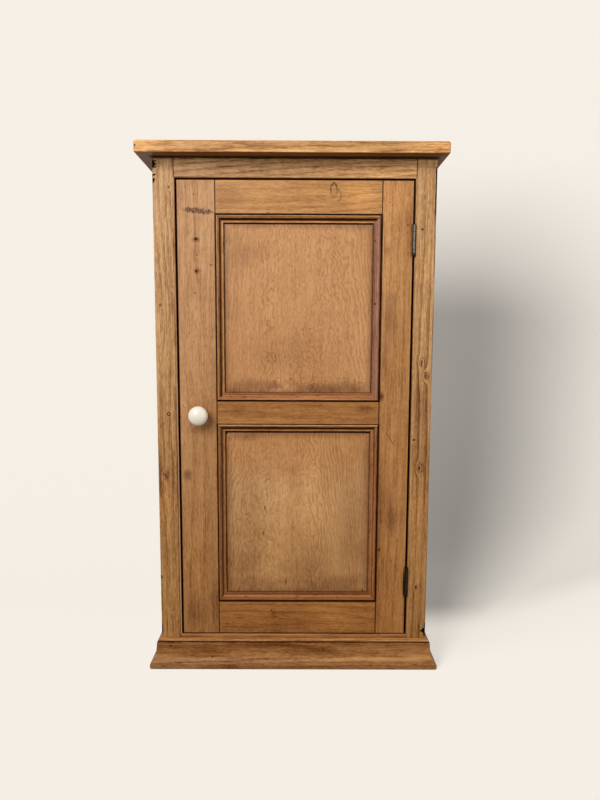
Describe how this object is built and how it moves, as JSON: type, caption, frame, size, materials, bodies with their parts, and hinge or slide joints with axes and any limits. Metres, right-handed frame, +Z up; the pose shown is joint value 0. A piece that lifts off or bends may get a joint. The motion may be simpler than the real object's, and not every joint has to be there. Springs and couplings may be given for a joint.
{
  "type": "jelly cupboard",
  "caption": "Tall narrow pine cupboard with an overhanging top, a panelled door on butt hinges, a ceramic knob turning a wooden button, inner shelves and a moulded plinth.",
  "frame": {"origin": "on the floor, below the middle of the top board's outline", "axes": "+Z up, -Y the front with the door, +X to the right seen from the front, where the hinges are"},
  "size_m": [0.6035, 0.3918, 1.0593],
  "materials": {
    "pine_top": "oiled pine, slight sheen",
    "pine_frame": "oiled pine, slight sheen",
    "pine_door": "oiled pine, slight sheen",
    "pine_panel": "oiled pine, slight sheen",
    "pine_moulding": "oiled pine, darkened in its hollows",
    "pine_plinth": "oiled pine, worn",
    "pine_side": "oiled pine, slight sheen",
    "pine_shelf": "bare pine, matt",
    "pine_batten": "bare pine, matt",
    "pine_back": "bare sawn pine, matt",
    "pine_turned": "hardwood, rubbed",
    "knob_glaze": "warm white glaze, glossy",
    "knob_steel": "dull zinc-grey",
    "hinge_iron": "dark grey iron, rubbed bright on the knuckles",
    "hinge_pin_steel": "dull steel"
  },
  "bodies": {
    "carcass": {"back_board_1": "pine_back", "back_board_2": "pine_back", "back_board_3": "pine_back", "back_board_4": "pine_back", "back_board_5": "pine_back", "base_board": "pine_shelf", "batten_base_left": "pine_batten", "batten_base_right": "pine_batten", "batten_shelf_1_left": "pine_batten", "batten_shelf_1_right": "pine_batten", "batten_shelf_2_left": "pine_batten", "batten_shelf_2_right": "pine_batten", "batten_shelf_3_left": "pine_batten", "batten_shelf_3_right": "pine_batten", "door_stop_bottom": "pine_batten", "door_stop_top": "pine_batten", "face_rail_bottom": "pine_frame", "face_rail_top": "pine_frame", "face_stile_left": "pine_frame", "face_stile_right": "pine_frame", "glue_blocks_top": "pine_batten", "hinge_leaf_frame_lower": "hinge_iron", "hinge_leaf_frame_upper": "hinge_iron", "hinge_pin_lower": "hinge_pin_steel", "hinge_pin_upper": "hinge_pin_steel", "plinth_front": "pine_plinth", "plinth_left": "pine_plinth", "plinth_right": "pine_plinth", "shelf_1": "pine_shelf", "shelf_2": "pine_shelf", "shelf_3": "pine_shelf", "side_board_left": "pine_side", "side_board_right": "pine_side", "top_board": "pine_top"},
    "door": {"door_panel_lower": "pine_panel", "door_panel_upper": "pine_panel", "door_rail_bottom": "pine_door", "door_rail_lock": "pine_door", "door_rail_top": "pine_door", "door_stile_hinge": "pine_door", "door_stile_latch": "pine_door", "hinge_leaf_door_lower": "hinge_iron", "hinge_leaf_door_upper": "hinge_iron", "moulding_lower_bottom": "pine_moulding", "moulding_lower_left": "pine_moulding", "moulding_lower_right": "pine_moulding", "moulding_lower_top": "pine_moulding", "moulding_upper_bottom": "pine_moulding", "moulding_upper_left": "pine_moulding", "moulding_upper_right": "pine_moulding", "moulding_upper_top": "pine_moulding"},
    "knob": {"knob_ceramic": "knob_glaze", "knob_spindle": "knob_steel", "knob_washer": "knob_steel", "turn_button": "pine_turned", "knob_nut": "knob_steel"}
  },
  "joints": [
    {"name": "door_hinge", "type": "hinge", "parent": "carcass", "child": "door", "pos_m": [0.23975, -0.1615, 0.53], "axis": [0, 0, 1], "range_deg": [0, 180]},
    {"name": "knob_turn", "type": "hinge", "parent": "door", "child": "knob", "pos_m": [-0.186, -0.1588, 0.53418], "axis": [0, 1, 0], "continuous": true}
  ]
}
